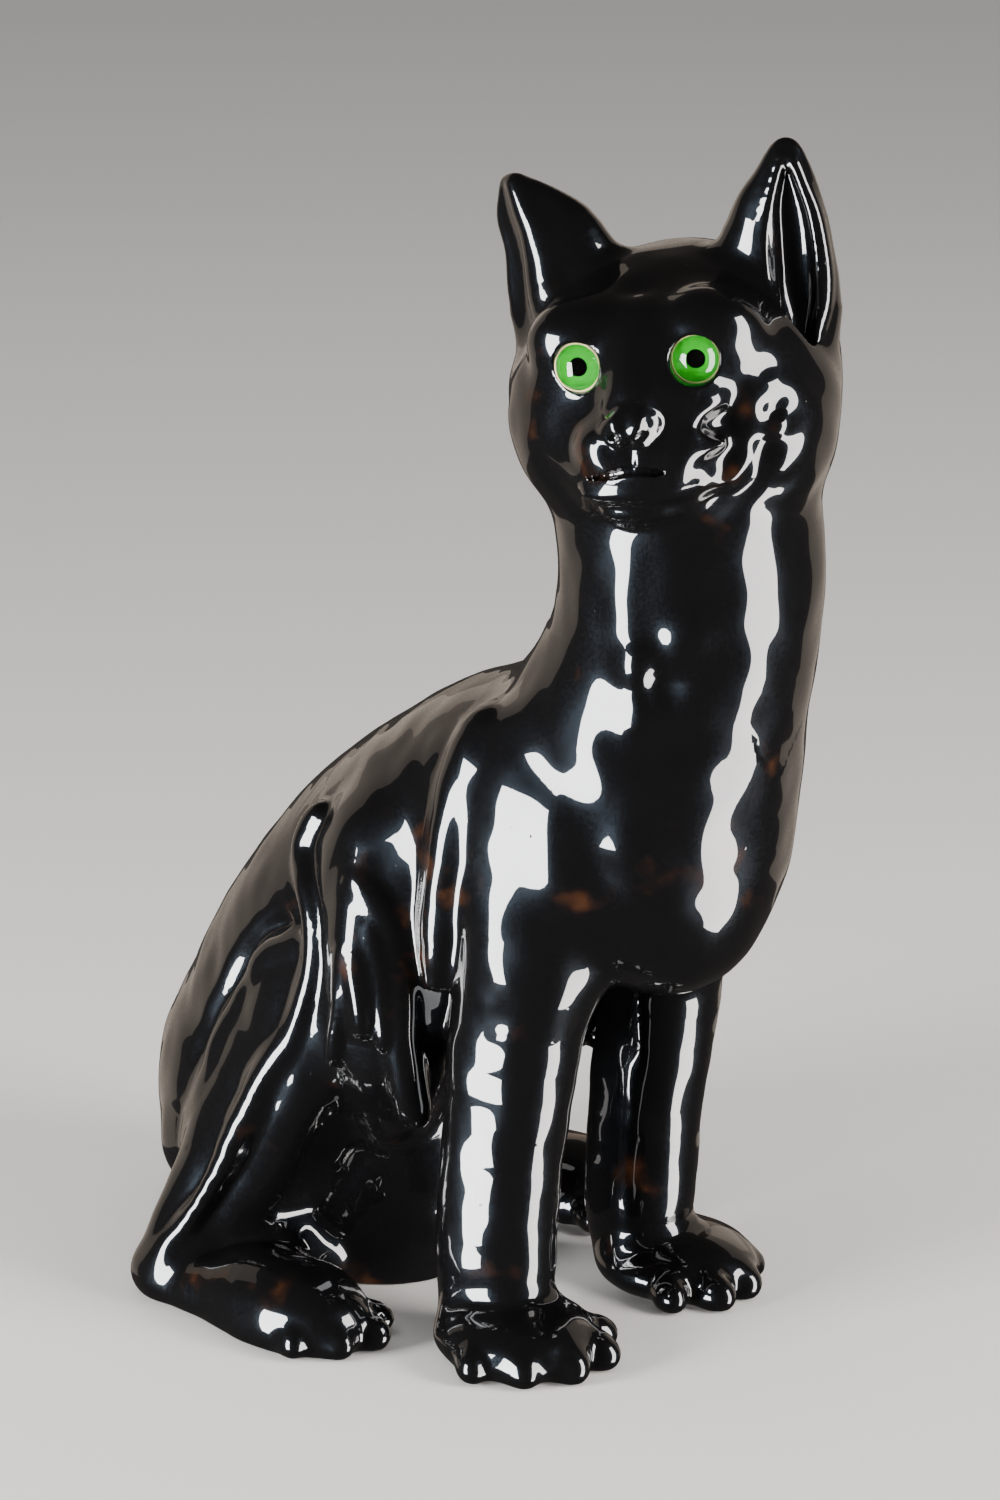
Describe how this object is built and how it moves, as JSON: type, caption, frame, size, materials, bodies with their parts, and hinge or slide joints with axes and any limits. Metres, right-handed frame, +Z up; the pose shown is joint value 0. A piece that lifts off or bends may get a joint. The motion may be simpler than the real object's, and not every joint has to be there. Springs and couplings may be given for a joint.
{
  "type": "cat figurine",
  "caption": "Seated glazed ceramic cat with its head turned to its right, upright ears and domed glass eyes set in the face; stands on its paws.",
  "frame": {"origin": "centre of the footprint, on the surface the paws stand on", "axes": "+Z up; -Y the way the body faces; +X the cat's left side; the head is turned towards -X"},
  "size_m": [0.1646, 0.2453, 0.3466],
  "materials": {
    "black_glaze": "very glossy black glaze with soft hand-modelled waves",
    "clear_glass": "polished clear glass dome",
    "green_enamel": "opaque bright green glass enamel",
    "black_glass": "opaque black glass",
    "cream_cement": "matt cream bedding cement"
  },
  "bodies": {
    "root": {"trunk_casting": "black_glaze", "head_casting": "black_glaze", "front_leg_left": "black_glaze", "front_leg_right": "black_glaze", "hind_leg_left": "black_glaze", "hind_leg_right": "black_glaze", "tail_casting": "black_glaze", "left_eye_lens": "clear_glass", "left_eye_iris": "green_enamel", "left_eye_pupil": "black_glass", "left_eye_bedding": "cream_cement", "right_eye_lens": "clear_glass", "right_eye_iris": "green_enamel", "right_eye_pupil": "black_glass", "right_eye_bedding": "cream_cement"}
  },
  "joints": []
}
